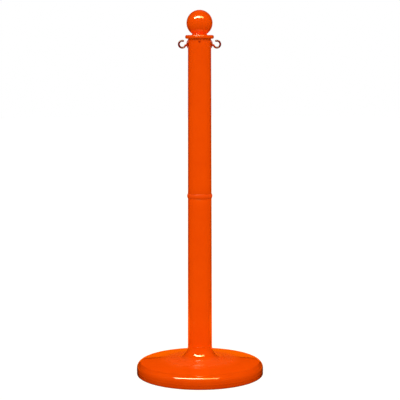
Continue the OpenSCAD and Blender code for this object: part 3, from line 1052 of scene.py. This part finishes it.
bmesh.ops.transform(mesh_maker, matrix=grip_span, verts=mesh_maker.verts)
for v in mesh_maker.verts:
    v.co.z += (grip_low + grip_high) / 2
    if v.co.z > lip_z:
        v.co.x *= grip_l / (skirt_r - 3 * MM)
bmesh.ops.bevel(mesh_maker, geom=mesh_maker.edges[:], offset=1 * MM, segments=4, affect="EDGES")
grip = finish_mesh("stopper_grip", mesh_maker)
bpy.ops.object.select_all(action="DESELECT")
stopper = one_skin([stopper, grip], "filler_stopper", 0.45 * MM, 3)
put(stopper, "stopper", "stopper_plastic", black_plastic, "fill_stopper")
seal = lathe("stopper_ring_seal", arc(seal_mid_r, seal_z, seal_rod_r, 0, 360, 20)[:-1], 128)
put(seal, "stopper", "seal_rubber", seal_rubber, "stopper_seal")

# %% [markdown]
# ## Floor, light and camera
#
# The post stands on a pale floor that runs out to white. Its reflections say what light it is in:
# a long soft box high up in front and to the left, whose weaker end reaches over to the right. A
# light tent, stronger in front than behind, keeps the colour even from side to side. The gloss
# doesn't see the tent, so it mirrors darkness, and the edges of the post turn darker.

# %% Floor
floor_maker = bmesh.new()
bmesh.ops.create_circle(floor_maker, cap_ends=True, radius=14, segments=96)
floor = finish_mesh("floor", floor_maker)
pale, nodes, links = empty_material("pale_floor")
pale_surface = nodes.new("ShaderNodeBsdfPrincipled")
pale_surface.label = "Pale paint with a glow of its own"
pale_surface.inputs["Base Color"].default_value = (0.15, 0.15, 0.15, 1)
pale_surface.inputs["Roughness"].default_value = 0.9
pale_surface.inputs["Emission Color"].default_value = (1, 1, 1, 1)
pale_surface.inputs["Emission Strength"].default_value = 0.94
pale_result = nodes.new("ShaderNodeOutputMaterial")
pale_result.label = "Floor"
links.new(pale_surface.outputs["BSDF"], pale_result.inputs["Surface"])
lay_out((None, 0, pale_surface, pale_result))
floor.data.materials.append(pale)
floor.visible_glossy = False
floor.visible_diffuse = False
print("floor radius: 14 m")

# %% World: white to look at, dark to be mirrored
world = bpy.data.worlds.new("studio")
bpy.context.scene.world = world
world.use_nodes = True
nodes, links = world.node_tree.nodes, world.node_tree.links
nodes.clear()
tent_frame = nodes.new("NodeFrame")
tent_frame.label = "Light tent"
seen_frame = nodes.new("NodeFrame")
seen_frame.label = "White to the eye"
direction = nodes.new("ShaderNodeTexCoord")
direction.label = "Direction of the light"
parts = nodes.new("ShaderNodeSeparateXYZ")
parts.label = "Its three parts"
height = nodes.new("ShaderNodeMapRange")
height.label = "Height over the horizon"
height.inputs["From Min"].default_value = -1
height.inputs["From Max"].default_value = 1
tent = nodes.new("ShaderNodeValToRGB")
tent.label = "Light tent from floor to ceiling"
tent.color_ramp.elements[0].color = (0.1, 0.1, 0.1, 1)
tent.color_ramp.elements[1].color = (0.05, 0.05, 0.05, 1)
for position, level in ((0.35, 0.3), (0.45, 0.2), (0.55, 0.4), (0.7, 1.15), (0.85, 0.7)):
    step = tent.color_ramp.elements.new(position)
    step.color = (level, level, level, 1)
front = nodes.new("ShaderNodeMapRange")
front.label = "Brighter from the front"
for limit, value in (("From Min", 0.9), ("From Max", -0.3), ("To Min", 0.9), ("To Max", 2.28)):
    front.inputs[limit].default_value = value
warm = nodes.new("ShaderNodeMix")
warm.label = "Warm cloth"
warm.data_type = "RGBA"
warm.blend_type = "MULTIPLY"
warm.inputs["Factor"].default_value = 1
warm.inputs["B"].default_value = (1, 0.94, 0.4, 1)
tent_light = nodes.new("ShaderNodeBackground")
tent_light.label = "Light tent"
seen = nodes.new("ShaderNodeLightPath")
seen.label = "What is asking"
white = nodes.new("ShaderNodeBackground")
white.label = "White studio"
white.inputs["Color"].default_value = (1, 1, 1, 1)
looked_at = nodes.new("ShaderNodeMixShader")
looked_at.label = "The eye sees white"
sky = nodes.new("ShaderNodeOutputWorld")
sky.label = "Studio"
links.new(direction.outputs["Generated"], parts.inputs["Vector"])
links.new(parts.outputs["Z"], height.inputs["Value"])
links.new(height.outputs["Result"], tent.inputs["Fac"])
links.new(parts.outputs["Y"], front.inputs["Value"])
links.new(tent.outputs["Color"], warm.inputs["A"])
links.new(warm.outputs["Result"], tent_light.inputs["Color"])
links.new(front.outputs["Result"], tent_light.inputs["Strength"])
links.new(seen.outputs["Is Camera Ray"], looked_at.inputs["Fac"])
links.new(tent_light.outputs["Background"], looked_at.inputs[1])
links.new(white.outputs["Background"], looked_at.inputs[2])
links.new(looked_at.outputs["Shader"], sky.inputs["Surface"])
lay_out((tent_frame, 0, direction, parts, height, tent, warm, front, tent_light),
        (seen_frame, 5, seen, white, looked_at), (None, 8, sky))
world.cycles_visibility.glossy = False
print("tent strength: 0.9 behind, 2.28 in front")

# %% Lights
def soft_box(name, place, target, width, depth, radiance, warmth):
    """A rectangular soft light. Its power is worked out from how bright its face should look."""
    light = bpy.data.lights.new(name, "AREA")
    light.shape = "RECTANGLE"
    light.size = width
    light.size_y = depth
    light.energy = radiance * width * depth * math.pi
    lamp = bpy.data.objects.new(name, light)
    lamp.location = place
    lamp.rotation_euler = (Vector(target) - Vector(place)).to_track_quat("-Z", "Y").to_euler()
    light.color = warmth
    lamp.visible_diffuse = False
    bpy.context.scene.collection.objects.link(lamp)
    print(f"{name}: {light.energy:.0f} W")
    return lamp


soft_box("key_box", (-1.35, -1.9, 3.6), (-1.35, 0, 0.6), 3.2, 0.9, 13, (1, 0.86, 0.5))
soft_box("key_box_end", (1.1, -1.9, 3.6), (1.1, 0, 0.6), 1.7, 0.9, 7, (1, 0.75, 0.22))

# %% [markdown]
# The top of the base is seen at a flat angle, so it mirrors what stands behind the post. Two
# boards of the post's own orange stand there, with a narrow gap between them. They keep the base's
# colour deep, and the gap draws the fine dark line that curves over each side of the base. A
# third board lies on the floor between them and the base. All three are narrow, so the outlines
# of the pole and the ball stay dark.

# %% Orange boards behind
def board(name, near, far, colour):
    """A glowing board that only the gloss can see, from one edge (y, z) to the other."""
    half_width = 0.75
    mesh_maker = bmesh.new()
    corners = [(-half_width, *near), (half_width, *near), (half_width, *far), (-half_width, *far)]
    mesh_maker.faces.new([mesh_maker.verts.new(corner) for corner in corners])
    piece = finish_mesh(name, mesh_maker)
    glow, nodes, links = empty_material(name)
    light = nodes.new("ShaderNodeEmission")
    light.label = "Even glow"
    light.inputs["Color"].default_value = (*colour, 1)
    result = nodes.new("ShaderNodeOutputMaterial")
    result.label = "Glowing face"
    links.new(light.outputs["Emission"], result.inputs["Surface"])
    lay_out((None, 0, light, result))
    piece.data.materials.append(glow)
    piece.visible_camera = False
    piece.visible_diffuse = False
    piece.visible_shadow = False
    print(f"{name}: {near} m to {far} m")


board("lying_board", (0.22, 0.001), (2.5, 0.001), (1.0, 0.15, 0.0))
board("low_board", (2.5, 0.001), (2.5, 0.475), (1.0, 0.15, 0.0))
board("high_board", (2.5, 0.53), (2.5, 1.6), (0.7, 0.06, 0.0))

# %% [markdown]
# The camera stands a little under the height of the post, three and a half metres away, and looks
# down slightly with a long lens, so the base shows its top while the flange is seen level.

# %% Camera
camera_data = bpy.data.cameras.new("camera")
camera = bpy.data.objects.new("camera", camera_data)
camera.location = (0, -3.5, 0.9032)
camera.rotation_euler = (math.radians(90 - 7.2), 0, 0)
camera.rotation_euler.rotate_axis("Z", math.radians(-0.075))
camera_data.sensor_width = 36
camera_data.lens = 114.2
camera_data.shift_x = 0.0006
camera_data.shift_y = 0.0296
bpy.context.scene.collection.objects.link(camera)
bpy.context.scene.camera = camera
bpy.context.scene.view_settings.view_transform = "Standard"
print("camera 3.5 m away, 114 mm lens")
